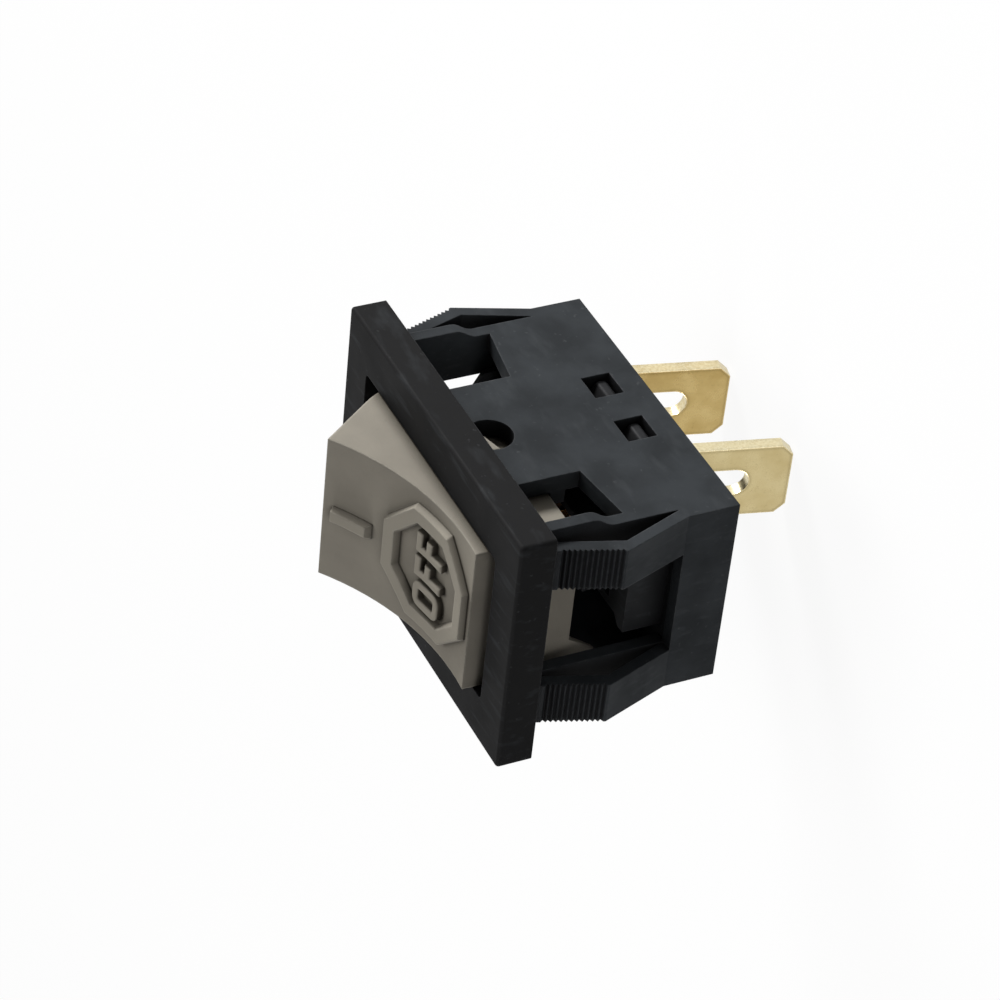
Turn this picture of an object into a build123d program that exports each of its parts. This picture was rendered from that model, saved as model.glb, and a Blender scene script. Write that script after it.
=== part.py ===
"""Snap-in shut-off rocker switch with two blade terminals.

The frame: X runs along the bezel, Y along the rocker's pivot, +Z out of the
panel towards the finger. The origin is the middle of the bezel's rear face,
where the panel lies. The stop end of the rocker is at +X and is pressed in.
"""

import os
from math import cos, radians, sin, sqrt, tan

from build123d import *

os.makedirs("parts", exist_ok=True)

# Bezel
bezel_end_overlap = 1.35
bezel_side_overlap = 1.1
bezel_thickness = 2.1
bezel_corner_radius = 0.25
bezel_edge_radius = 0.2
opening_end_gap = 0.8
opening_side_gap = 0.15
opening_corner_radius = 0.3

# Housing behind the bezel
rocker_side_gap = 0.2
body_depth = 11.7
wall_thickness = 1.1
block_front = 8.6
post_setback = 0.7
post_thickness = 0.75
post_width = 2.72
window_start = 4.45
window_depth_inner = 4.75
window_depth_outer = 5.35
guide_height = 0.6
guide_depth = 3.1
guide_ramp = 1.55

# Snap arms: a ramp from the rear block to a peak, then a toothed slope
arm_width = 2.65
arm_thickness = 0.78
arm_peak_bulge = 1.52
arm_peak_depth = 4.25
arm_tip_bulge = 0.28
arm_tip_depth = 0.5
arm_root_overlap = 0.3
tooth_count = 12
tooth_pitch = 0.29
tooth_depth = 0.18
tooth_peak_land = 0.12

# Rocker pivot and travel
pivot_depth = 1.45
rocker_tilt = 17.0
pin_radius = 1.275
pin_clearance = 0.05
pin_length = 1.25
pin_chamfer_height = 0.33
pin_chamfer_run = 1.05
pin_chamfer_start = 0.1

# Rocker, measured from its pivot before it is tilted
rocker_width = 9.5
rocker_wall = 1.0
face_half_chord = 6.1
face_end_height = 6.3
face_mid_height = 5.13
flank_half_length = 7.4
flank_height = 2.5
skirt_height = 0.69
lip_height = 0.2
lip_width = 6.24
leg_thickness = 0.8
leg_tip_reach = 8.15
leg_tip_drop = 1.55
leg_tip_thickness = 0.3
leg_tip_width = 0.42
relief_height = 0.45
relief_root = 0.3
relief_edge_run = 0.16
relief_edge_drop = 0.35
sign_corners = 8
sign_apothem = 3.86
sign_ring_width = 1.1
sign_x = 1.9
sign_y = 0.1
bar_length = 2.55
bar_width = 0.98
bar_x = -4.2
bar_y = -0.12

# Stop ledges under the rocker's cheeks
stop_clearance = 0.03
ledge_start = 1.2
ledge_height = 0.9
ledge_reach = 0.85

# Terminals
tab_width = 4.75
tab_thickness = 0.8
tab_length = 8.36
tab_tip_chamfer_length = 0.62
tab_tip_chamfer_width = 0.6
tab_lean = 13.0
tab_slot_start = 2.6
tab_slot_end = 5.95
tab_slot_width = 1.75
tab_shoulder = 1.1
tab_pitch = 7.7
leg_plate_width = 2.8
horn_width = 0.45
horn_height = 0.8
cradle_chamfer = 0.3

# See-saw contact blade
blade_axis_depth = 7.3
blade_tilt = 8.0
blade_contact_length = 6.4
blade_free_length = 4.5
blade_width = 2.6
blade_thickness = 0.4
blade_dish_radius = 2.7
blade_dish_angle = 27.0
blade_wing_height = 0.5
waist_half_length = 0.75
waist_clearance = 0.05
seat_clearance = 0.03
contact_reach = 5.4
contact_gap = 0.02
contact_radius = 1.1
contact_dome_radius = 2.5
contact_height = 0.5
contact_cap_radius = 0.9
contact_cap_height = 0.25
rivet_radius = 0.6
rivet_clearance = 0.02
fixed_contact_radius = 1.2

# Plunger and spring
plunger_tip_radius = 0.8
plunger_radius = 0.95
plunger_clearance = 0.05
plunger_gap = 0.03
plunger_shoulder = 3.7
plunger_nib_radius = 0.45
plunger_nib_length = 1.2
boss_radius = 1.9
boss_bottom = 2.6
spring_top = 3.1
spring_radius = 0.72
spring_wire_radius = 0.13
spring_turns = 5
spring_wire_sides = 6

# Contact base, pushed in from behind
base_clearance = 0.05
block_end_wall = 0.85
base_front = 8.7
trough_top = 6.3
trough_end_wall = 0.5
trough_side_wall = 0.5
trough_side_top = 5.4
trough_side_reach = 5.2
base_end_land = 0.85
end_block_setback = 0.5
end_block_thickness = 1.9
end_block_width = 5.2
end_block_shoulder = 0.6
guard_thickness = 0.35
guard_top = 4.4
guard_top_width = 4.86
guard_width = 7.2
guard_shoulder = 0.68
trough_clearance = 0.15
terminal_clearance = 0.05
rest_reach = 4.0
rest_length = 0.8
latch_x = 2.05
latch_depth = 9.3
latch_length = 1.9
latch_height = 1.75
latch_clearance = 0.15
latch_recess = 0.35
latch_ramp = 0.7
latch_radius = 0.25
seat_rib_length = 7.0
seat_rib_reach = 0.55
seat_rib_height = 0.6

# Sizes that follow from the ones above
tilt = radians(rocker_tilt)
lean = radians(tab_lean)
swing = radians(blade_tilt)
slot_size = tab_thickness + 2 * terminal_clearance
trough_load_end = tab_pitch + slot_size / 2
half_base_length = trough_load_end + base_end_land
half_cavity_length = half_base_length + base_clearance
half_body_length = half_cavity_length + block_end_wall
post_outer = half_body_length - post_setback
post_inner = post_outer - post_thickness
arm_peak_reach = half_body_length + arm_peak_bulge
arm_tip_reach = half_body_length + arm_tip_bulge
bezel_length = 2 * (half_body_length + bezel_end_overlap)
inner_width = rocker_width + 2 * rocker_side_gap
body_width = inner_width + 2 * wall_thickness
guide_width = body_width + 2 * guide_height
bezel_width = guide_width + 2 * bezel_side_overlap
half_body_width = body_width / 2
wall_centre = half_body_width - wall_thickness / 2
arm_inner_edge = half_body_width - arm_width
skirt_radius = sqrt(flank_half_length**2 + flank_height**2)
skirt_reach = sqrt(skirt_radius**2 - skirt_height**2)
opening_length = 2 * (skirt_radius + opening_end_gap)
opening_width = rocker_width + 2 * opening_side_gap
cheek_stop_height = skirt_height * cos(tilt) - skirt_reach * sin(tilt)
keel_drop = -cheek_stop_height / cos(tilt)
dish_floor = blade_axis_depth - pivot_depth
plunger_tip = dish_floor - blade_thickness - plunger_tip_radius - plunger_gap
wing_top = blade_thickness + blade_wing_height

pivot = Vector(0, 0, -pivot_depth)
rocker_along = Vector(cos(tilt), 0, -sin(tilt))
rocker_up = Vector(sin(tilt), 0, cos(tilt))
rocker_side = Plane(origin=pivot, x_dir=rocker_along, z_dir=(0, -1, 0))
rocker_cross = Plane(origin=pivot, x_dir=(0, 1, 0), z_dir=rocker_along)
rocker_level = Plane(origin=pivot, x_dir=rocker_along, z_dir=rocker_up)
rocker_axis = Axis(pivot, rocker_up)

blade_seat = Vector(0, 0, -blade_axis_depth)
blade_along = Vector(cos(swing), 0, sin(swing))
blade_up = Vector(-sin(swing), 0, cos(swing))
blade_side = Plane(origin=blade_seat, x_dir=blade_along, z_dir=(0, -1, 0))
blade_level = Plane(origin=blade_seat, x_dir=blade_along, z_dir=blade_up)

# The moving contact's dome touches the fixed contact below it
dome_centre = (
    blade_seat
    - blade_along * contact_reach
    + blade_up * (blade_wing_height - contact_height + contact_dome_radius)
)
fixed_contact_top = dome_centre.Z - contact_dome_radius - contact_gap
pad_top = fixed_contact_top - contact_height
trough_floor = pad_top - tab_thickness
trough_half_width = leg_plate_width / 2 + trough_clearance


# Housing: bezel, side walls, rear block and snap arms moulded in one
with BuildPart() as housing:
    with BuildSketch(Plane.XY):
        RectangleRounded(bezel_length, bezel_width, bezel_corner_radius)
    extrude(amount=bezel_thickness)
    fillet(housing.faces().sort_by(Axis.Z)[-1].edges(), radius=bezel_edge_radius)

    # The two side walls, from the bezel to the rear
    with BuildSketch(Plane.XY):
        with Locations((0, wall_centre), (0, -wall_centre)):
            Rectangle(2 * post_outer, wall_thickness)
    extrude(amount=-body_depth)

    # The rear block, open in the middle for the contact base
    with BuildSketch(Plane.XY.offset(-block_front)):
        Rectangle(2 * half_body_length, body_width)
        Rectangle(2 * half_cavity_length, inner_width, mode=Mode.SUBTRACT)
    extrude(amount=block_front - body_depth)

    # Windows in the side walls, with sloping rear edges
    with BuildSketch(Plane.XZ):
        for side in (1, -1):
            Polygon(
                (side * window_start, 0),
                (side * post_inner, 0),
                (side * post_inner, -window_depth_outer),
                (side * window_start, -window_depth_inner),
            )
    extrude(amount=body_width, both=True, mode=Mode.SUBTRACT)

    # Posts behind the snap arms, reaching in from the side walls
    post_middle = (post_outer + post_inner) / 2
    post_y = half_body_width - post_width / 2
    with BuildSketch(Plane.XY):
        with GridLocations(2 * post_middle, 2 * post_y, 2, 2):
            Rectangle(post_outer - post_inner, post_width)
    extrude(amount=-block_front)

    # Guide ribs that fill the panel cut-out's width and run out in a soft ramp
    for side in (1, -1):
        with BuildSketch(Plane.YZ.offset(side * post_middle)):
            for hand in (1, -1):
                with BuildLine():
                    ramp = Spline(
                        (hand * guide_width / 2, -guide_depth),
                        (hand * half_body_width, -guide_depth - guide_ramp),
                        tangents=((0, -1), (0, -1)),
                    )
                    Polyline(
                        ramp @ 0,
                        (hand * guide_width / 2, 0),
                        (hand * wall_centre, 0),
                        (hand * wall_centre, -guide_depth - guide_ramp),
                        ramp @ 1,
                    )
                make_face()
        extrude(amount=(post_outer - post_inner) / 2, both=True)

    # Snap arms with V-grooves along their outer slopes
    slope_run = arm_peak_reach - arm_tip_reach
    slope_rise = arm_peak_depth - arm_tip_depth
    slope_length = sqrt(slope_run**2 + slope_rise**2)
    along_x = -slope_run / slope_length
    along_z = slope_rise / slope_length
    inward = arm_thickness * slope_length / slope_rise
    root_inner = half_body_length - arm_thickness
    for hand in (1, -1):
        near = half_body_width if hand > 0 else -arm_inner_edge
        with BuildSketch(Plane.XZ.offset(-near)):
            for side in (1, -1):
                Polygon(
                    (side * half_body_length, -block_front - arm_root_overlap),
                    (side * half_body_length, -block_front),
                    (side * arm_peak_reach, -arm_peak_depth),
                    (side * arm_tip_reach, -arm_tip_depth),
                    (side * (arm_tip_reach - inward), -arm_tip_depth),
                    (side * (arm_peak_reach - inward), -arm_peak_depth - tooth_pitch),
                    (side * root_inner, -block_front),
                    (side * root_inner, -block_front - arm_root_overlap),
                )
                for tooth in range(tooth_count):
                    low = tooth_peak_land + tooth * tooth_pitch
                    mid = low + tooth_pitch / 2
                    high = low + tooth_pitch
                    Polygon(
                        (
                            side * (arm_peak_reach + low * along_x),
                            -arm_peak_depth + low * along_z,
                        ),
                        (
                            side * (arm_peak_reach + mid * along_x - tooth_depth * along_z),
                            -arm_peak_depth + mid * along_z + tooth_depth * along_x,
                        ),
                        (
                            side * (arm_peak_reach + high * along_x),
                            -arm_peak_depth + high * along_z,
                        ),
                        mode=Mode.SUBTRACT,
                    )
        extrude(amount=arm_width)

    # Opening for the rocker
    with BuildSketch(Plane.XY):
        RectangleRounded(opening_length, opening_width, opening_corner_radius)
    extrude(amount=bezel_thickness, mode=Mode.SUBTRACT)

    # Pivot holes for the rocker's pins
    with BuildSketch(Plane.XZ):
        with Locations((0, -pivot_depth)):
            Circle(pin_radius + pin_clearance)
    extrude(amount=body_width, both=True, mode=Mode.SUBTRACT)

    # Square holes that the contact base latches into
    with BuildSketch(Plane.XZ):
        with Locations((latch_x, -latch_depth), (-latch_x, -latch_depth)):
            Rectangle(latch_length, latch_height)
    extrude(amount=body_width, both=True, mode=Mode.SUBTRACT)

    # Ledges that stop the rocker's cheeks at both ends of its travel
    ledge_top = -pivot_depth + cheek_stop_height - stop_clearance
    ledge_length = window_start - ledge_start
    ledge_middle = (window_start + ledge_start) / 2
    ledge_y = inner_width / 2 - ledge_reach / 2
    with BuildSketch(Plane.XY.offset(ledge_top)):
        for side in (1, -1):
            with Locations((side * ledge_middle, ledge_y), (side * ledge_middle, -ledge_y)):
                Rectangle(ledge_length, ledge_reach)
    extrude(amount=-ledge_height)

    # Ribs that the contact base seats against
    rib_y = inner_width / 2 - seat_rib_reach / 2
    with BuildSketch(Plane.XY.offset(-base_front + seat_clearance)):
        with Locations((0, rib_y), (0, -rib_y)):
            Rectangle(seat_rib_length, seat_rib_reach)
    extrude(amount=seat_rib_height)
housing.part.label = "housing"
export_step(housing.part, "parts/housing.step")


# The raised bar and the ring of the stop sign, cut from a skin over the face
with BuildPart() as face_relief:
    with BuildSketch(rocker_side):
        with BuildLine():
            under = ThreePointArc(
                (-face_half_chord, face_end_height - relief_root),
                (0, face_mid_height - relief_root),
                (face_half_chord, face_end_height - relief_root),
            )
            over = ThreePointArc(
                (-face_half_chord, face_end_height + relief_height),
                (0, face_mid_height + relief_height),
                (face_half_chord, face_end_height + relief_height),
            )
            Line(under @ 0, over @ 0)
            Line(under @ 1, over @ 1)
        make_face()
    extrude(amount=rocker_width / 2, both=True)

    sign_turn = 180 / sign_corners
    with BuildSketch(rocker_level):
        with Locations((sign_x, sign_y)):
            RegularPolygon(sign_apothem, sign_corners, major_radius=False, rotation=sign_turn)
            RegularPolygon(
                sign_apothem - sign_ring_width,
                sign_corners,
                major_radius=False,
                rotation=sign_turn,
                mode=Mode.SUBTRACT,
            )
        with Locations((bar_x, bar_y)):
            Rectangle(bar_length, bar_width)
    extrude(amount=2 * face_end_height, mode=Mode.INTERSECT)

    # Their walls lean outwards below a flat top
    for top in face_relief.faces().filter_by(GeomType.CYLINDER).sort_by(rocker_axis)[-2:]:
        chamfer(top.edges(), length=relief_edge_run, length2=relief_edge_drop, reference=top)

# Rocker: a hollow cap with a dished face, pivot pins and a plunger boss
with BuildPart() as rocker:
    with BuildSketch(rocker_side) as rocker_outline:
        with BuildLine():
            face_arc = ThreePointArc(
                (-face_half_chord, face_end_height),
                (0, face_mid_height),
                (face_half_chord, face_end_height),
            )
            mid_height = (flank_height + skirt_height) / 2
            mid_reach = sqrt(skirt_radius**2 - mid_height**2)
            for side, corner in ((-1, face_arc @ 0), (1, face_arc @ 1)):
                Line(corner, (side * flank_half_length, flank_height))
                ThreePointArc(
                    (side * flank_half_length, flank_height),
                    (side * mid_reach, mid_height),
                    (side * skirt_reach, skirt_height),
                )
                Line((side * skirt_reach, skirt_height), (0, -keel_drop))
        make_face()
    extrude(amount=rocker_width / 2, both=True)

    # The hollow, open at the bottom between the cheeks
    with BuildSketch(rocker_side):
        add(rocker_outline.sketch_local)
        offset(amount=-rocker_wall, mode=Mode.REPLACE)
        with Locations((0, skirt_height)):
            Rectangle(
                2 * (skirt_reach - rocker_wall),
                2 * (keel_drop + skirt_height),
                align=(Align.CENTER, Align.MAX),
            )
    extrude(amount=rocker_width / 2 - rocker_wall, both=True, mode=Mode.SUBTRACT)

    # Lips along the skirt's ends, with legs that splay outwards at the corners
    leg_root = skirt_reach - leg_thickness
    with BuildSketch(rocker_side):
        for side in (1, -1):
            Polygon(
                (side * leg_root, skirt_height + rocker_wall),
                (side * skirt_reach, skirt_height),
                (side * leg_tip_reach, -leg_tip_drop),
                (side * (leg_tip_reach - leg_tip_thickness), -leg_tip_drop),
                (side * leg_root, lip_height),
            )
    extrude(amount=rocker_width / 2, both=True)
    for cut_start in (leg_root, -leg_tip_reach):
        with BuildSketch(rocker_cross.offset(cut_start)):
            Polygon(
                (-lip_width / 2, lip_height),
                (lip_width / 2, lip_height),
                (rocker_width / 2 - leg_tip_width, -leg_tip_drop),
                (leg_tip_width - rocker_width / 2, -leg_tip_drop),
            )
        extrude(amount=leg_tip_reach - leg_root, mode=Mode.SUBTRACT)

    # Plunger boss on a web between the cheeks
    boss_top = face_mid_height - rocker_wall / 2
    with BuildSketch(rocker_level.offset(-boss_bottom)):
        Circle(boss_radius)
    extrude(amount=boss_top + boss_bottom)
    with BuildSketch(rocker_level.offset(-pin_radius)):
        Rectangle(rocker_wall, rocker_width - rocker_wall)
    extrude(amount=boss_top + pin_radius)
    with BuildSketch(rocker_level.offset(-boss_bottom)):
        Circle(plunger_radius + plunger_clearance)
    extrude(amount=spring_top + boss_bottom, mode=Mode.SUBTRACT)

    # Pivot pins, cut back below so that they snap into their holes
    cheek_inner = rocker_width / 2 - rocker_wall
    for hand in (1, -1):
        with BuildSketch(rocker_side.offset(hand * cheek_inner)):
            Circle(pin_radius)
        extrude(amount=hand * (rocker_wall + pin_length))
    pin_end = rocker_width / 2 + pin_length
    with BuildSketch(rocker_cross):
        for hand in (1, -1):
            Polygon(
                (hand * pin_end, pin_chamfer_height),
                (hand * pin_end, -pin_radius),
                (hand * (rocker_width / 2 + pin_chamfer_start), -pin_radius),
                (
                    hand * (rocker_width / 2 + pin_chamfer_start),
                    pin_chamfer_height - pin_chamfer_run,
                ),
            )
    extrude(amount=pin_radius, both=True, mode=Mode.SUBTRACT)
    add(face_relief.part)
rocker.part.label = "rocker"
export_step(rocker.part, "parts/rocker.step")


# Plunger: turned, with a round nose and a nib inside the spring
with BuildPart() as plunger:
    with BuildSketch(rocker_side):
        with BuildLine():
            nose = CenterArc((0, -plunger_tip), plunger_tip_radius, -90, 90)
            Polyline(
                nose @ 1,
                (plunger_radius, -plunger_tip + plunger_tip_radius),
                (plunger_radius, plunger_shoulder - plunger_tip),
                (plunger_nib_radius, plunger_shoulder - plunger_tip),
                (plunger_nib_radius, plunger_shoulder - plunger_tip + plunger_nib_length),
                (0, plunger_shoulder - plunger_tip + plunger_nib_length),
                nose @ 0,
            )
        make_face()
    revolve(axis=rocker_axis)
plunger.part.label = "plunger"
export_step(plunger.part, "parts/plunger.step")


# Plunger spring, between the plunger's shoulder and the end of the bore
with BuildPart() as plunger_spring:
    spring_foot = plunger_shoulder - plunger_tip + spring_wire_radius + seat_clearance
    spring_head = spring_top - spring_wire_radius - seat_clearance
    spring_length = spring_head - spring_foot
    with BuildLine():
        coil = Helix(
            pitch=spring_length / spring_turns,
            height=spring_length,
            radius=spring_radius,
            center=pivot + rocker_up * spring_foot,
            direction=rocker_up,
        )
    with BuildSketch(Plane(origin=coil @ 0, z_dir=coil % 0)):
        RegularPolygon(spring_wire_radius, spring_wire_sides)
    sweep(path=coil, is_frenet=True)
plunger_spring.part.label = "plunger_spring"
export_step(plunger_spring.part, "parts/plunger_spring.step")


# Contact blade: a strip with a dish in the middle that the plunger rides in
with BuildPart() as contact_blade:
    dish = radians(blade_dish_angle)
    dish_centre = blade_thickness + blade_dish_radius
    outer_radius = blade_dish_radius + blade_thickness
    with BuildSketch(blade_side):
        with BuildLine():
            rim_x = blade_dish_radius * sin(dish)
            rim_z = dish_centre - blade_dish_radius * cos(dish)
            keel_x = outer_radius * sin(dish)
            keel_z = dish_centre - outer_radius * cos(dish)
            ThreePointArc((-rim_x, rim_z), (0, blade_thickness), (rim_x, rim_z))
            ThreePointArc((-keel_x, keel_z), (0, 0), (keel_x, keel_z))
            wing_inner = rim_x + (wing_top - rim_z) / tan(dish)
            wing_outer = keel_x + (blade_wing_height - keel_z) / tan(dish)
            for side, reach in ((1, blade_free_length), (-1, blade_contact_length)):
                Polyline(
                    (side * rim_x, rim_z),
                    (side * wing_inner, wing_top),
                    (side * reach, wing_top),
                    (side * reach, blade_wing_height),
                    (side * wing_outer, blade_wing_height),
                    (side * keel_x, keel_z),
                )
        make_face()
    extrude(amount=blade_width / 2, both=True)

    # Waist that drops between the cradle's horns
    horn_inner = leg_plate_width / 2 - horn_width
    notch_width = blade_width / 2 - horn_inner + waist_clearance
    with BuildSketch(blade_level):
        for hand in (1, -1):
            with Locations((0, hand * blade_width / 2)):
                Rectangle(2 * waist_half_length, 2 * notch_width)
    extrude(amount=wing_top, both=True, mode=Mode.SUBTRACT)

    with BuildSketch(blade_level):
        with Locations((-contact_reach, 0)):
            Circle(rivet_radius)
    extrude(amount=wing_top, mode=Mode.SUBTRACT)
contact_blade.part.label = "contact_blade"
export_step(contact_blade.part, "parts/contact_blade.step")


# Moving contact: a domed rivet through the blade's end
with BuildPart() as moving_contact:
    dome_top = blade_wing_height - contact_height
    shank = rivet_radius - rivet_clearance
    dome_sag = contact_dome_radius - sqrt(contact_dome_radius**2 - contact_radius**2)
    dome_mid = contact_dome_radius - sqrt(contact_dome_radius**2 - (contact_radius / 2) ** 2)
    with BuildSketch(blade_side):
        with BuildLine():
            dome = ThreePointArc(
                (-contact_reach, dome_top),
                (-contact_reach + contact_radius / 2, dome_top + dome_mid),
                (-contact_reach + contact_radius, dome_top + dome_sag),
            )
            Polyline(
                dome @ 1,
                (-contact_reach + contact_radius, blade_wing_height),
                (-contact_reach + shank, blade_wing_height),
                (-contact_reach + shank, wing_top),
                (-contact_reach + contact_cap_radius, wing_top),
                (-contact_reach + contact_cap_radius, wing_top + contact_cap_height),
                (-contact_reach, wing_top + contact_cap_height),
                dome @ 0,
            )
        make_face()
    revolve(axis=Axis(blade_seat - blade_along * contact_reach, blade_up))
moving_contact.part.label = "moving_contact"
export_step(moving_contact.part, "parts/moving_contact.step")


def make_tab(tab_x):
    """The blade outside the base with its bend and shoulder, as on both terminals."""
    leaning = Plane(
        origin=(tab_x, 0, -body_depth),
        x_dir=(0, -1, 0),
        z_dir=(cos(lean), 0, sin(lean)),
    )
    with BuildPart() as tab:
        with BuildSketch(leaning):
            Polygon(
                (-tab_width / 2, 0),
                (tab_width / 2, 0),
                (tab_width / 2, tab_length - tab_tip_chamfer_length),
                (tab_width / 2 - tab_tip_chamfer_width, tab_length),
                (tab_tip_chamfer_width - tab_width / 2, tab_length),
                (-tab_width / 2, tab_length - tab_tip_chamfer_length),
            )
            with Locations((0, (tab_slot_start + tab_slot_end) / 2)):
                SlotOverall(
                    tab_slot_end - tab_slot_start,
                    tab_slot_width,
                    rotation=90,
                    mode=Mode.SUBTRACT,
                )
        extrude(amount=tab_thickness / 2, both=True)
        with BuildSketch(Plane.XZ):
            with Locations((tab_x, -body_depth)):
                Circle(tab_thickness / 2)
        extrude(amount=tab_width / 2, both=True)
        with BuildSketch(Plane.XY.offset(-body_depth)):
            with Locations((tab_x, 0)):
                Rectangle(tab_thickness, tab_width)
        extrude(amount=tab_shoulder)
    return tab.part


# Common terminal: its inner end is the cradle that the blade rocks on
with BuildPart() as common_terminal:
    cradle_top = -blade_axis_depth - seat_clearance
    add(make_tab(0))
    with BuildSketch(Plane.XY.offset(-body_depth)):
        Rectangle(tab_thickness, leg_plate_width)
    extrude(amount=body_depth + cradle_top)
    cradle_edges = common_terminal.faces().sort_by(Axis.Z)[-1].edges().filter_by(Axis.Y)
    chamfer(cradle_edges, length=cradle_chamfer)
    with BuildSketch(Plane.XY.offset(cradle_top - horn_height)):
        horn_y = leg_plate_width / 2 - horn_width / 2
        with Locations((0, horn_y), (0, -horn_y)):
            Rectangle(tab_thickness, horn_width)
    extrude(amount=2 * horn_height)
common_terminal.part.label = "common_terminal"
export_step(common_terminal.part, "parts/common_terminal.step")


# Load terminal: bent over inside into a pad that carries the fixed contact
with BuildPart() as load_terminal:
    add(make_tab(-tab_pitch))
    with BuildSketch(Plane.XY.offset(-body_depth)):
        with Locations((-tab_pitch, 0)):
            Rectangle(tab_thickness, leg_plate_width)
    extrude(amount=body_depth + pad_top)
    pad_start = -tab_pitch - tab_thickness / 2
    pad_end = dome_centre.X + fixed_contact_radius
    with BuildSketch(Plane.XY.offset(trough_floor)):
        with Locations(((pad_start + pad_end) / 2, 0)):
            Rectangle(pad_end - pad_start, leg_plate_width)
        with Locations((dome_centre.X, 0)):
            Circle(rivet_radius, mode=Mode.SUBTRACT)
    extrude(amount=tab_thickness)
    bend_edge = load_terminal.edges().filter_by(Axis.Y).group_by(Axis.Z)[-1].sort_by(Axis.X)[0]
    fillet(bend_edge, radius=tab_thickness / 2)
load_terminal.part.label = "load_terminal"
export_step(load_terminal.part, "parts/load_terminal.step")


# Fixed contact: a flat rivet through the load terminal's pad
with BuildPart() as fixed_contact:
    with BuildSketch(Plane.XY.offset(trough_floor)):
        with Locations((dome_centre.X, 0)):
            Circle(rivet_radius - rivet_clearance)
    extrude(amount=tab_thickness)
    with BuildSketch(Plane.XY.offset(pad_top)):
        with Locations((dome_centre.X, 0)):
            Circle(fixed_contact_radius)
    extrude(amount=contact_height)
fixed_contact.part.label = "fixed_contact"
export_step(fixed_contact.part, "parts/fixed_contact.step")


# Contact base: closes the housing from behind and holds both terminals
with BuildPart() as contact_base:
    base_width = inner_width - 2 * base_clearance
    with BuildSketch(Plane.XY.offset(-body_depth)):
        Rectangle(2 * half_base_length, base_width)
    extrude(amount=body_depth - base_front)

    # The trough for the blade, with a wider end block at the stop end
    trough_outer = trough_half_width + trough_side_wall
    trough_outer_end = trough_load_end + trough_end_wall
    end_block_reach = half_base_length - end_block_setback
    trough_free_end = end_block_reach - end_block_thickness
    flare_end = end_block_reach - end_block_shoulder
    flare_start = flare_end - end_block_width / 2 + trough_outer
    with BuildSketch(Plane.XY.offset(-base_front)):
        Polygon(
            (-trough_outer_end, -trough_outer),
            (flare_start, -trough_outer),
            (flare_end, -end_block_width / 2),
            (end_block_reach, -end_block_width / 2),
            (end_block_reach, end_block_width / 2),
            (flare_end, end_block_width / 2),
            (flare_start, trough_outer),
            (-trough_outer_end, trough_outer),
        )
    extrude(amount=base_front - trough_top)

    # Its side walls stand higher along the blade
    with BuildSketch(Plane.XY.offset(-base_front)):
        with Locations(((trough_side_reach - trough_outer_end) / 2, 0)):
            Rectangle(trough_outer_end + trough_side_reach, 2 * trough_outer)
    extrude(amount=base_front - trough_side_top)

    # Guard between the contacts and the run end's gap, just inside the posts
    with BuildSketch(Plane.YZ.offset(base_clearance - post_inner)):
        Polygon(
            (-guard_width / 2, -base_front),
            (guard_width / 2, -base_front),
            (guard_width / 2, -guard_top - guard_shoulder),
            (guard_top_width / 2, -guard_top),
            (-guard_top_width / 2, -guard_top),
            (-guard_width / 2, -guard_top - guard_shoulder),
        )
    extrude(amount=guard_thickness)

    # The room inside the trough
    with BuildSketch(Plane.XY.offset(trough_floor)):
        with Locations(((trough_free_end - trough_load_end) / 2, 0)):
            Rectangle(trough_free_end + trough_load_end, 2 * trough_half_width)
    extrude(amount=-trough_floor, mode=Mode.SUBTRACT)

    # Rest for the blade's free end when the switch is on
    rest_top = -blade_axis_depth - rest_reach * sin(swing) + blade_wing_height * cos(swing)
    rest_drop = rest_length / 2 * tan(swing) + stop_clearance
    with BuildSketch(Plane.XY.offset(trough_floor)):
        with Locations((rest_reach, 0)):
            Rectangle(rest_length, blade_width)
    extrude(amount=rest_top - rest_drop - trough_floor)

    # Slots for the terminals, wider at the back for their shoulders
    with BuildSketch(Plane.XY.offset(-body_depth)):
        with Locations((0, 0), (-tab_pitch, 0)):
            Rectangle(slot_size, leg_plate_width + 2 * terminal_clearance)
    extrude(amount=body_depth + trough_floor, mode=Mode.SUBTRACT)
    with BuildSketch(Plane.XY.offset(-body_depth)):
        with Locations((0, 0), (-tab_pitch, 0)):
            Rectangle(slot_size, tab_width + 2 * terminal_clearance)
    extrude(amount=tab_shoulder + terminal_clearance, mode=Mode.SUBTRACT)

    # Room for the bends where the tabs leave the base
    with BuildSketch(Plane.XZ):
        for tab_x in (0, -tab_pitch):
            with Locations((tab_x, -body_depth)):
                Circle(tab_thickness / 2 + terminal_clearance)
    extrude(amount=tab_width / 2 + terminal_clearance, both=True, mode=Mode.SUBTRACT)

    # Latches in the housing's square holes, with a ramp that leads them in
    latch_bottom = -latch_depth - latch_height / 2 + latch_clearance
    latch_crest = half_body_width - latch_recess
    latch_half_length = latch_length / 2 - latch_clearance
    for latch_middle in (latch_x, -latch_x):
        with BuildSketch(Plane.YZ.offset(latch_middle)) as latch_profile:
            Polygon(
                (-latch_crest, latch_bottom),
                (latch_crest, latch_bottom),
                (latch_crest, -base_front - latch_ramp),
                (base_width / 2, -base_front),
                (-base_width / 2, -base_front),
                (-latch_crest, -base_front - latch_ramp),
            )
            ends = latch_profile.vertices().group_by(Axis.X)
            fillet(ends[0] + ends[-1], radius=latch_radius)
            Rectangle(base_width - 2 * latch_ramp, 2 * body_depth, mode=Mode.SUBTRACT)
        extrude(amount=latch_half_length, both=True)
contact_base.part.label = "contact_base"
export_step(contact_base.part, "parts/contact_base.step")
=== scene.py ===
"""Looks of the snap-in rocker switch: camera, materials, lettering, spring coil and light."""

import math

import bmesh
import bpy
from mathutils import Matrix, Vector


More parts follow.
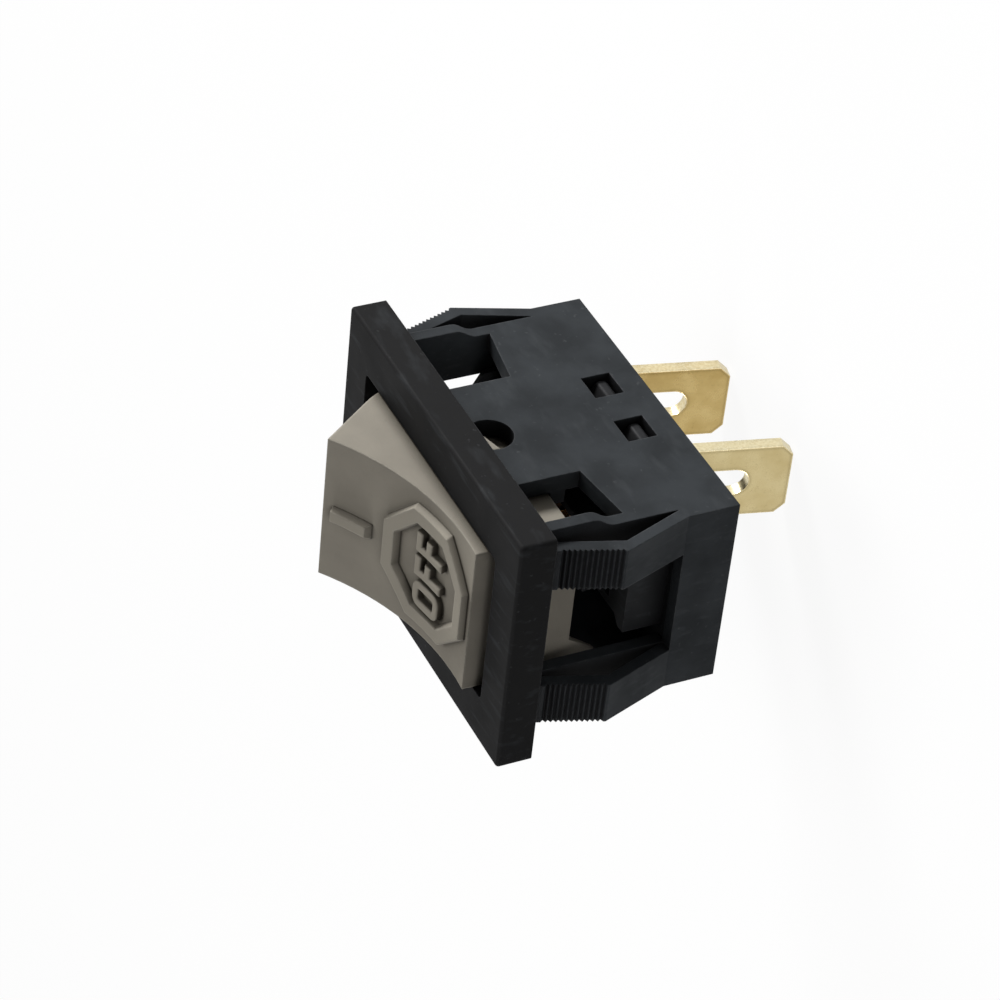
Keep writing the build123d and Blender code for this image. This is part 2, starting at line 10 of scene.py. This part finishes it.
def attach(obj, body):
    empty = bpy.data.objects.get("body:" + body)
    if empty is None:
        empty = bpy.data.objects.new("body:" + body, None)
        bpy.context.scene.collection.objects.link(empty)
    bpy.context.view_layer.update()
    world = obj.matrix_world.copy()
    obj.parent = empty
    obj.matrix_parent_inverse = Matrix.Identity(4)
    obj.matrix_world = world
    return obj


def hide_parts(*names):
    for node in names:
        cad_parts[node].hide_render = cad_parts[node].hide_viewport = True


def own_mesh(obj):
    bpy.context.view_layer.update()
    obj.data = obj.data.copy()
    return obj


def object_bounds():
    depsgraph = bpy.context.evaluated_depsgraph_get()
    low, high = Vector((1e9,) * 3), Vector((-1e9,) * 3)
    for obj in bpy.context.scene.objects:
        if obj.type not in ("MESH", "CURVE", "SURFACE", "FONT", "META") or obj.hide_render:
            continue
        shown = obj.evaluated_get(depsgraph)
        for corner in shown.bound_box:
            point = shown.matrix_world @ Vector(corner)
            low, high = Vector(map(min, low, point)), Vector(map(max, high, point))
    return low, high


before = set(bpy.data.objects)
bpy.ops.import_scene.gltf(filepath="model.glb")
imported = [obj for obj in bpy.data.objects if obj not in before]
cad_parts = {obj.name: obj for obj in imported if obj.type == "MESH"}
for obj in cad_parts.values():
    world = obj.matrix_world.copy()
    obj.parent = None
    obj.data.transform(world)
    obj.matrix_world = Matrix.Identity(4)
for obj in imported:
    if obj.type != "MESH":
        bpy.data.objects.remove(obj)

MM = 0.001
cad_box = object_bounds()

# The rocker's tilted, dished face, as in the part's source, in mm
pivot = Vector((0.0, 0.0, -1.45))
rocker_lean = 17.0
rocker_tilt = math.radians(rocker_lean)
rocker_along = Vector((math.cos(rocker_tilt), 0.0, -math.sin(rocker_tilt)))
rocker_up = Vector((math.sin(rocker_tilt), 0.0, math.cos(rocker_tilt)))
face_low = 5.13
face_rise = 1.17
face_half_chord = 6.1
face_radius = (face_half_chord**2 + face_rise**2) / (2 * face_rise)
face_axis = (pivot + rocker_up * (face_low + face_radius)) * MM
relief_height = 0.45

# The raised lettering inside the face's ring, in mm
sign_x = 1.95
sign_y = 0.0
letter_widths = (("O", 1.75), ("F", 1.35), ("F", 1.35))
letter_height = 2.4
letter_stroke = 0.52
letter_gap = 0.28
letter_corner = 0.62
least_corner = 0.08
corner_steps = 5
letter_root = -0.15
letter_round = 0.14
round_segments = 4

# The F's middle bar, as shares of the letter's height and width
middle_bar_height = 0.42
middle_bar_reach = 0.86

# The spring in the rocker's bore, as in the part's source, in mm above the pivot
spring_foot = -0.76
spring_head = 2.94
spring_radius = 0.72
spring_wire_radius = 0.13
spring_turns = 5
spring_steps = 24
spring_sides = 10

# The terminals' lean in degrees, and the direction of their thickness
tab_lean = 13.0
tab_through = (math.cos(math.radians(tab_lean)), 0.0, math.sin(math.radians(tab_lean)))

# Camera, at the photograph's viewing angle; the picture is taken as 1000 x 1000
camera_place = Vector((141.0, 129.49, 75.32)) * MM
view_right = Vector((0.42052, 0.08580, -0.90322))
view_up = Vector((-0.59517, 0.77748, -0.20324))
view_back = Vector((0.68479, 0.62303, 0.37801))
sensor_width = 36.0
focal_length = 134.1
nearest_seen = 0.01
farthest_seen = 10.0

# Colours, as linear red, green and blue
housing_dark = (0.0145, 0.0165, 0.0185)
housing_light = (0.0245, 0.0278, 0.031)
base_dark = (0.0145, 0.015, 0.016)
base_light = (0.021, 0.022, 0.0235)
bezel_black = (0.0125, 0.0125, 0.0128)
black_scuff = (0.045, 0.049, 0.053)
black_dust = (0.06, 0.062, 0.065)
black_worn = (0.065, 0.068, 0.071)
# painted shade for the black parts' grooves, corners and recesses
black_groove_shade = (0.003, 0.003, 0.0033)
grey_plain = (0.21, 0.193, 0.162)
grey_pale = (0.225, 0.207, 0.173)
grey_handled = (0.192, 0.176, 0.148)
# painted light: the raised relief's paler colour
grey_relief_painted_light = (0.29, 0.268, 0.222)
grey_speck = (0.125, 0.114, 0.095)
# paler edges: partly wear, partly painted highlight
grey_worn_and_highlight = (0.33, 0.31, 0.265)
# painted shade for the rocker's grooves and corners
grey_groove_shade = (0.052, 0.046, 0.036)
nylon_plain = (0.62, 0.6, 0.52)
nylon_pale = (0.66, 0.64, 0.56)
nylon_yellow = (0.55, 0.52, 0.43)
steel = (0.56, 0.56, 0.58)
steel_shade = (0.42, 0.42, 0.44)
copper = (0.72, 0.43, 0.25)
copper_shade = (0.58, 0.33, 0.19)
silver = (0.84, 0.83, 0.8)
silver_shade = (0.7, 0.68, 0.64)
pale_brass = (0.6, 0.5, 0.27)
pale_brass_shade = (0.5, 0.4, 0.195)
deep_brass = (0.57, 0.43, 0.185)
deep_brass_shade = (0.46, 0.33, 0.125)
# paler cut sides of the terminals: partly sheared metal, partly painted highlight
brass_cut_and_highlight = (0.84, 0.77, 0.54)
floor_plain = (0.42, 0.42, 0.42)
floor_pale = (0.43, 0.43, 0.43)
floor_dark = (0.41, 0.41, 0.41)

# Finishes: gloss of the black parts, roughness of the metals, and the ambient occlusion levels
# between which groove shade is painted
body_gloss = 0.07
bezel_gloss = 0.02
metal_roughness = 0.27
groove_closed = 0.45
groove_open = 0.93
edge_samples = 6
groove_samples = 8

# Floor and light, in metres and watts
floor_size = 3.0
floor_gap = 0.00002
floor_glow = 1.12
floor_glow_share = 0.82
world_light = 0.07
light_target = Vector((0.0, 0.0, -0.008))
lights = (
    ("key", (-0.27, 0.29, 0.06), 0.12, 2.45),
    ("fill", (-0.05, 0.12, 0.40), 0.25, 1.05),
    ("front", (0.38, 0.10, 0.04), 0.2, 0.35),
    ("back", (0.05, -0.40, 0.03), 0.2, 1.35),
)

camera_data = bpy.data.cameras.new("camera")
camera_data.sensor_width = sensor_width
camera_data.lens = focal_length
camera_data.clip_start = nearest_seen
camera_data.clip_end = farthest_seen
camera = bpy.data.objects.new("camera", camera_data)
view_turn = Matrix((view_right, view_up, view_back)).transposed().to_4x4()
camera.matrix_world = Matrix.Translation(camera_place) @ view_turn
bpy.context.scene.collection.objects.link(camera)
bpy.context.scene.camera = camera
bpy.context.scene.view_settings.view_transform = "Standard"


class Nodes:
    """Short names for the nodes that the materials and the world are made of."""

    def __init__(self, tree):
        self.tree = tree

    def add(self, kind, **settings):
        node = self.tree.nodes.new(kind)
        for key, value in settings.items():
            setattr(node, key, value)
        return node

    def link(self, source, target):
        self.tree.links.new(source, target)

    def feed(self, socket, value):
        """Gives a socket a plain value or another node's output."""
        if isinstance(value, bpy.types.NodeSocket):
            self.link(value, socket)
        else:
            socket.default_value = value

    def remap(self, value, low, high, out_low=0.0, out_high=1.0):
        node = self.add("ShaderNodeMapRange")
        self.feed(node.inputs["Value"], value)
        self.feed(node.inputs["From Min"], low)
        self.feed(node.inputs["From Max"], high)
        self.feed(node.inputs["To Min"], out_low)
        self.feed(node.inputs["To Max"], out_high)
        return node.outputs["Result"]

    def combine(self, operation, *operands):
        """The result, kept from 0 to 1, of an operation on numbers."""
        node = self.add("ShaderNodeMath", operation=operation, use_clamp=True)
        for socket, operand in zip(node.inputs, operands):
            self.feed(socket, operand)
        return node.outputs["Value"]

    def vector(self, operation, *operands):
        """The outputs of an operation on vectors."""
        node = self.add("ShaderNodeVectorMath", operation=operation)
        for socket, operand in zip(node.inputs, operands):
            self.feed(socket, operand)
        return node.outputs

    def seen_directly(self):
        """1 where the camera sees it, also in a reflection or through glass, and 0 as light."""
        path = self.add("ShaderNodeLightPath").outputs
        direct = self.combine("MAXIMUM", path["Is Camera Ray"], path["Is Glossy Ray"])
        return self.combine("MAXIMUM", direct, path["Is Transmission Ray"])


class Finish(Nodes):
    """A material whose patterns keep their size in mm."""

    def __init__(self, name, color, roughness, metallic=0.0, specular=0.5):
        self.material = bpy.data.materials.new(name)
        self.material.use_nodes = True
        self.material.diffuse_color = (*color, 1.0)
        super().__init__(self.material.node_tree)
        self.shader = self.tree.nodes["Principled BSDF"]
        self.shader.inputs["Base Color"].default_value = (*color, 1.0)
        self.shader.inputs["Roughness"].default_value = roughness
        self.shader.inputs["Metallic"].default_value = metallic
        self.shader.inputs["Specular IOR Level"].default_value = specular
        coordinates = self.add("ShaderNodeTexCoord")
        self.place = coordinates.outputs["Object"]
        self.facing = coordinates.outputs["Normal"]

    def noise(self, size_mm, detail=3.0, stretch=(1.0, 1.0, 1.0), turn=(0.0, 0.0, 0.0)):
        """Noise whose features are about size_mm across, times stretch along each axis."""
        mapping = self.add("ShaderNodeMapping")
        mapping.inputs["Rotation"].default_value = turn
        mapping.inputs["Scale"].default_value = [1.0 / (size_mm * MM * s) for s in stretch]
        self.link(self.place, mapping.inputs["Vector"])
        noise = self.add("ShaderNodeTexNoise")
        noise.inputs["Scale"].default_value = 1.0
        noise.inputs["Detail"].default_value = detail
        self.link(mapping.outputs["Vector"], noise.inputs["Vector"])
        return noise.outputs["Fac"]

    def mix(self, factor, first, second):
        """Colour from first to second; each is a colour or another node's output."""
        node = self.add("ShaderNodeMix", data_type="RGBA")
        self.link(factor, node.inputs["Factor"])
        for socket, color in ((node.inputs[6], first), (node.inputs[7], second)):
            self.feed(socket, (*color, 1.0) if isinstance(color, tuple) else color)
        return node.outputs[2]

    def rounded(self, radius_mm):
        """The surface's normal, turned along edges as if they were rounded."""
        bevel = self.add("ShaderNodeBevel", samples=edge_samples)
        bevel.inputs["Radius"].default_value = radius_mm * MM
        return bevel.outputs["Normal"]

    def edges(self, radius_mm):
        """1 along outer and inner edges, 0 on the flats."""
        flat = self.add("ShaderNodeNewGeometry").outputs["Normal"]
        likeness = self.vector("DOT_PRODUCT", self.rounded(radius_mm), flat)["Value"]
        return self.remap(likeness, 0.99, 0.86)

    def grooves(self, reach_mm):
        """A factor from 0 in narrow grooves and corners to 1 in the open, from ambient occlusion,
        for painting shade into the colour.
        """
        shade = self.add("ShaderNodeAmbientOcclusion", samples=groove_samples)
        shade.inputs["Distance"].default_value = reach_mm * MM
        return self.remap(shade.outputs["AO"], groove_closed, groove_open)

    def surface(self, edge_mm, bumps):
        """Rounds the edges by edge_mm and adds bumps: (height, strength, depth in mm)."""
        normal = self.rounded(edge_mm)
        for height, strength, depth_mm in bumps:
            bump = self.add("ShaderNodeBump")
            bump.inputs["Strength"].default_value = strength
            bump.inputs["Distance"].default_value = depth_mm * MM
            self.link(height, bump.inputs["Height"])
            self.link(normal, bump.inputs["Normal"])
            normal = bump.outputs["Normal"]
        self.link(normal, self.shader.inputs["Normal"])

    def paint(self, color, roughness):
        self.link(color, self.shader.inputs["Base Color"])
        self.link(roughness, self.shader.inputs["Roughness"])
        return self.material


def black_plastic(name, dark, light, edge_mm):
    """Moulded black plastic: cloudy sheen, fine grain, edges rubbed paler, a duller bezel, and
    painted shade in grooves and corners.
    """
    finish = Finish(name, dark, 0.5, specular=body_gloss)
    cloud = finish.noise(2.6, detail=4.0)
    grain = finish.noise(0.09, detail=2.0)
    speck = finish.noise(0.35, detail=5.0)
    ripple = finish.noise(1.1, detail=2.0)
    scuff = finish.noise(0.45, detail=4.0, stretch=(7.0, 1.0, 2.5), turn=(0.0, 0.3, 0.2))
    height = finish.add("ShaderNodeSeparateXYZ")
    finish.link(finish.place, height.inputs["Vector"])
    front = finish.remap(height.outputs["Z"], -0.4 * MM, 0.0)
    rubbed = finish.remap(speck, 0.35, 0.62, 0.0, 0.75)
    color = finish.mix(finish.remap(cloud, 0.35, 0.68), dark, light)
    for share, tint in (
        (front, bezel_black),
        (finish.remap(scuff, 0.56, 0.72, 0.0, 0.3), black_scuff),
        (finish.remap(speck, 0.66, 0.74, 0.0, 0.35), black_dust),
        (finish.combine("MULTIPLY", finish.edges(0.1), rubbed), black_worn),
    ):
        color = finish.mix(share, color, tint)
    # painted shade: the colour darkens in grooves, corners and deep recesses, from ambient
    # occlusion
    color = finish.mix(finish.grooves(1.8), black_groove_shade, color)
    gloss = finish.remap(front, 0.0, 1.0, body_gloss, bezel_gloss)
    finish.link(gloss, finish.shader.inputs["Specular IOR Level"])
    finish.surface(edge_mm, [(ripple, 0.25, 0.02), (grain, 0.35, 0.006)])
    return finish.paint(color, finish.remap(cloud, 0.3, 0.7, 0.64, 0.5))


def grey_plastic():
    """The rocker's warm grey plastic: fine texture, darker handled patches, painted light on the
    raised relief, edges paler from wear and painted highlight, and painted shade in grooves.
    """
    finish = Finish("rocker_plastic_look", grey_plain, 0.8, specular=0.1)
    cloud = finish.noise(3.2, detail=4.0)
    grain = finish.noise(0.1, detail=3.0)
    speck = finish.noise(0.22, detail=4.0)
    from_axis = finish.vector("SUBTRACT", finish.place, face_axis)["Vector"]
    sideways = finish.vector("MULTIPLY", from_axis, (1.0, 0.0, 1.0))["Vector"]
    reach = finish.vector("LENGTH", sideways)["Value"]
    relief_top = (face_radius - relief_height) * MM
    rubbed = finish.remap(speck, 0.3, 0.6, 0.3, 0.85)
    color = finish.mix(finish.remap(cloud, 0.32, 0.7), grey_pale, grey_handled)
    for share, tint in (
        # painted light: the relief paler the higher it stands above the dished face
        (finish.remap(reach, relief_top, relief_top + 0.3 * MM, 0.45, 0.0), grey_relief_painted_light),
        (finish.remap(speck, 0.68, 0.78, 0.0, 0.4), grey_speck),
        # edges paler in patches: partly wear, partly painted highlight
        (finish.combine("MULTIPLY", finish.edges(0.16), rubbed), grey_worn_and_highlight),
    ):
        color = finish.mix(share, color, tint)
    # painted shade: the colour darkens in grooves and corners, from ambient occlusion
    color = finish.mix(finish.grooves(1.0), grey_groove_shade, color)
    finish.surface(0.2, [(cloud, 0.2, 0.03), (grain, 0.55, 0.012)])
    return finish.paint(color, finish.remap(speck, 0.3, 0.7, 0.74, 0.88))


def rolled_metal(name, color, shade, lean, through=None):
    """Rolled strip: fine lines along its length, a cloudy tarnish, a painted shade band inside
    the edges, and paler edges from sheared metal and painted highlight.

    lean turns the lines, in degrees. through is the direction of the strip's thickness,
    where its cut sides show paler: partly sheared metal, partly painted highlight.
    """
    finish = Finish(name, color, metal_roughness, metallic=1.0)
    turn = (0.0, math.radians(lean), 0.0)
    lines = finish.noise(0.07, detail=3.0, stretch=(1.0, 1.0, 60.0), turn=turn)
    cloud = finish.noise(1.4, detail=4.0)
    fine = finish.noise(0.16, detail=3.0)
    dull = tuple(0.6 * c for c in shade)
    # painted shade: a darker band just inside the edges, as under a burr
    rim_shade = tuple(0.5 * c for c in shade)
    # paler edge colour: partly fresh sheared metal, partly painted highlight
    sheared_edge_and_highlight = tuple(min(1.0, 1.25 * c + 0.18) for c in color)
    rim = finish.combine("SUBTRACT", finish.edges(0.45), finish.edges(0.2))
    rubbed = finish.remap(fine, 0.35, 0.6, 0.3, 0.9)
    body = finish.mix(finish.remap(cloud, 0.3, 0.7), color, shade)
    for share, tint in (
        (finish.remap(fine, 0.6, 0.75, 0.0, 0.35), dull),
        # painted shade: the darker band just inside the edges
        (finish.combine("MULTIPLY", rim, 0.8), rim_shade),
        # edges paler in patches: partly sheared metal, partly painted highlight
        (finish.combine("MULTIPLY", finish.edges(0.14), rubbed), sheared_edge_and_highlight),
    ):
        body = finish.mix(share, body, tint)
    # cut sides paler: partly sheared metal, partly painted highlight
    if through is not None:
        across = finish.vector("DOT_PRODUCT", finish.facing, through)["Value"]
        cut = finish.remap(finish.combine("ABSOLUTE", across), 0.35, 0.6, 1.0, 0.0)
        cut = finish.combine("MULTIPLY", cut, finish.remap(fine, 0.3, 0.7, 0.3, 0.75))
        body = finish.mix(cut, body, brass_cut_and_highlight)
    finish.surface(0.06, [(lines, 0.3, 0.004), (cloud, 0.25, 0.02)])
    rough = finish.remap(cloud, 0.3, 0.7, metal_roughness - 0.05, metal_roughness + 0.1)
    return finish.paint(body, rough)


def natural_plastic():
    """The plunger's uncoloured nylon."""
    finish = Finish("plunger_look", nylon_plain, 0.42)
    cloud = finish.noise(0.9, detail=3.0)
    color = finish.mix(finish.remap(cloud, 0.3, 0.7), nylon_pale, nylon_yellow)
    finish.surface(0.05, [(finish.noise(0.08), 0.2, 0.004)])
    return finish.paint(color, finish.remap(cloud, 0.3, 0.7, 0.36, 0.5))


looks = {
    "housing": black_plastic("housing_look", housing_dark, housing_light, 0.1),
    "contact_base": black_plastic("base_look", base_dark, base_light, 0.06),
    "rocker": grey_plastic(),
    "plunger": natural_plastic(),
    "plunger_spring": rolled_metal("spring_look", steel, steel_shade, rocker_lean),
    "contact_blade": rolled_metal("blade_look", copper, copper_shade, 90.0),
    "moving_contact": rolled_metal("moving_contact_look", silver, silver_shade, 0.0),
    "fixed_contact": rolled_metal("fixed_contact_look", silver, silver_shade, 0.0),
    "common_terminal": rolled_metal(
        "common_look", pale_brass, pale_brass_shade, -tab_lean, through=tab_through
    ),
    "load_terminal": rolled_metal(
        "load_look", deep_brass, deep_brass_shade, -tab_lean, through=tab_through
    ),
}
for node, look in looks.items():
    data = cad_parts[node].data
    data.materials.clear()
    data.materials.append(look)


def piece_of(mesh, name, look):
    """An object with this name and look, made from a finished mesh."""
    data = bpy.data.meshes.new(name)
    mesh.to_mesh(data)
    mesh.free()
    piece = bpy.data.objects.new(name, data)
    bpy.context.scene.collection.objects.link(piece)
    data.materials.append(look)
    return piece


def on_face(along, across, height):
    """A point over the rocker's dished face, in metres in the shared frame."""
    face = face_low + face_radius - math.sqrt(face_radius**2 - along**2)
    point = pivot + rocker_along * along + rocker_up * (face + height)
    return Vector((point.x, across, point.z)) * MM


def letter_rim(mesh, left, width, inset):
    """Vertices round a letter of this width, with rounded corners, set in from its edge."""
    radius = max(letter_corner - inset, least_corner)
    low = inset + radius
    right, high = width - low, letter_height - low
    rim = []
    for x, y, start in ((right, high, 0), (low, high, 90), (low, low, 180), (right, low, 270)):
        for step in range(corner_steps + 1):
            turn = math.radians(start + 90 * step / corner_steps)
            corner = (left + x + radius * math.cos(turn), y + radius * math.sin(turn), 0.0)
            rim.append(mesh.verts.new(corner))
    return rim


def letter_o(mesh, left, width):
    outer = letter_rim(mesh, left, width, 0.0)
    inner = letter_rim(mesh, left, width, letter_stroke)
    for i in range(len(outer)):
        j = (i + 1) % len(outer)
        mesh.faces.new((outer[i], outer[j], inner[j], inner[i]))


def letter_f(mesh, left, width):
    bar = letter_height * middle_bar_height
    rows = (0.0, bar, bar + letter_stroke, letter_height - letter_stroke, letter_height)
    reach = {1: width * middle_bar_reach, 3: width}
    stem = [[mesh.verts.new((left + x, y, 0.0)) for x in (0.0, letter_stroke)] for y in rows]
    for i in range(len(rows) - 1):
        low, high = stem[i], stem[i + 1]
        mesh.faces.new((low[0], low[1], high[1], high[0]))
        if i in reach:
            tips = [mesh.verts.new((left + reach[i], y, 0.0)) for y in (rows[i], rows[i + 1])]
            mesh.faces.new((low[1], tips[0], tips[1], high[1]))


def lettering():
    """The word OFF inside the ring, its tops towards the raised end, with rounded edges."""
    mesh = bmesh.new()
    left = -(sum(width for _, width in letter_widths) + letter_gap * (len(letter_widths) - 1)) / 2
    for letter, width in letter_widths:
        (letter_o if letter == "O" else letter_f)(mesh, left, width)
        left += width + letter_gap
    bmesh.ops.recalc_face_normals(mesh, faces=mesh.faces)
    for face in mesh.faces:
        if face.normal.z < 0:
            face.normal_flip()
    made = bmesh.ops.extrude_face_region(mesh, geom=list(mesh.faces))
    top = [v for v in made["geom"] if isinstance(v, bmesh.types.BMVert)]
    bmesh.ops.translate(mesh, verts=top, vec=(0.0, 0.0, relief_height - letter_root))
    bmesh.ops.recalc_face_normals(mesh, faces=mesh.faces)
    top = set(top)
    rim = [
        edge
        for edge in mesh.edges
        if all(v in top for v in edge.verts)
        and any(face.normal.z < 0.5 for face in edge.link_faces)
    ]
    bmesh.ops.bevel(
        mesh, geom=rim, offset=letter_round, segments=round_segments, profile=0.5, affect="EDGES"
    )
    for vertex in mesh.verts:
        x, y, z = vertex.co
        vertex.co = on_face(sign_x + letter_height / 2 - y, sign_y + x, letter_root + z)
    piece = piece_of(mesh, "off_lettering", looks["rocker"])
    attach(piece, "rocker")


def coil_spring():
    """The plunger's spring as round wire."""
    across = Vector((0.0, 1.0, 0.0))
    rise = spring_head - spring_foot
    steps = spring_turns * spring_steps
    mesh = bmesh.new()
    rings = []
    for step in range(steps + 1):
        turn = 2 * math.pi * step / spring_steps
        radial = rocker_along * math.cos(turn) + across * math.sin(turn)
        around = across * math.cos(turn) - rocker_along * math.sin(turn)
        centre = pivot + rocker_up * (spring_foot + rise * step / steps) + radial * spring_radius
        travel = around * spring_radius + rocker_up * (rise / (2 * math.pi * spring_turns))
        side = travel.cross(radial).normalized()
        ring = []
        for corner in range(spring_sides):
            angle = 2 * math.pi * corner / spring_sides
            out = radial * math.cos(angle) + side * math.sin(angle)
            ring.append(mesh.verts.new((centre + out * spring_wire_radius) * MM))
        rings.append(ring)
    for ring, next_ring in zip(rings, rings[1:]):
        for i in range(spring_sides):
            j = (i + 1) % spring_sides
            mesh.faces.new((ring[i], ring[j], next_ring[j], next_ring[i]))
    mesh.faces.new(rings[0])
    mesh.faces.new(rings[-1])
    bmesh.ops.recalc_face_normals(mesh, faces=mesh.faces)
    for face in mesh.faces:
        face.smooth = len(face.verts) == 4
    piece = piece_of(mesh, "spring_coil", looks["plunger_spring"])
    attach(piece, "rocker")
    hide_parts("plunger_spring")
    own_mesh(piece)


lettering()
coil_spring()

# A plain pale floor, which glows where the camera sees it
floor_height = cad_box[0].z - floor_gap
bpy.ops.mesh.primitive_plane_add(size=floor_size, location=(0.0, 0.0, floor_height))
floor = bpy.context.object
floor.name = "floor"
paper = Finish("floor_look", floor_plain, 0.9, specular=0.1)
tone = paper.mix(paper.noise(40.0), floor_pale, floor_dark)
paper.link(tone, paper.shader.inputs["Base Color"])
glow = paper.add("ShaderNodeEmission")
glow.inputs["Strength"].default_value = floor_glow
blend = paper.add("ShaderNodeMixShader")
glowing = paper.combine("MULTIPLY", paper.seen_directly(), floor_glow_share)
paper.link(glowing, blend.inputs[0])
paper.link(paper.shader.outputs[0], blend.inputs[1])
paper.link(glow.outputs[0], blend.inputs[2])
paper.link(blend.outputs[0], paper.tree.nodes["Material Output"].inputs["Surface"])
floor.data.materials.append(paper.material)

# A white world that lights the part only a little
world = bpy.data.worlds.new("studio")
bpy.context.scene.world = world
world.use_nodes = True
sky = world.node_tree.nodes["Background"]
sky.inputs["Color"].default_value = (1.0, 1.0, 1.0, 1.0)
air = Nodes(world.node_tree)
air.link(air.remap(air.seen_directly(), 0.0, 1.0, world_light, 1.0), sky.inputs["Strength"])

# Round soft lights, turned towards the part
for name, position, size, power in lights:
    light = bpy.data.lights.new(name, "AREA")
    light.shape = "DISK"
    light.size = size
    light.energy = power
    lamp = bpy.data.objects.new(name, light)
    lamp.location = position
    lamp.rotation_mode = "QUATERNION"
    lamp.rotation_quaternion = (light_target - Vector(position)).to_track_quat("-Z", "Y")
    bpy.context.scene.collection.objects.link(lamp)
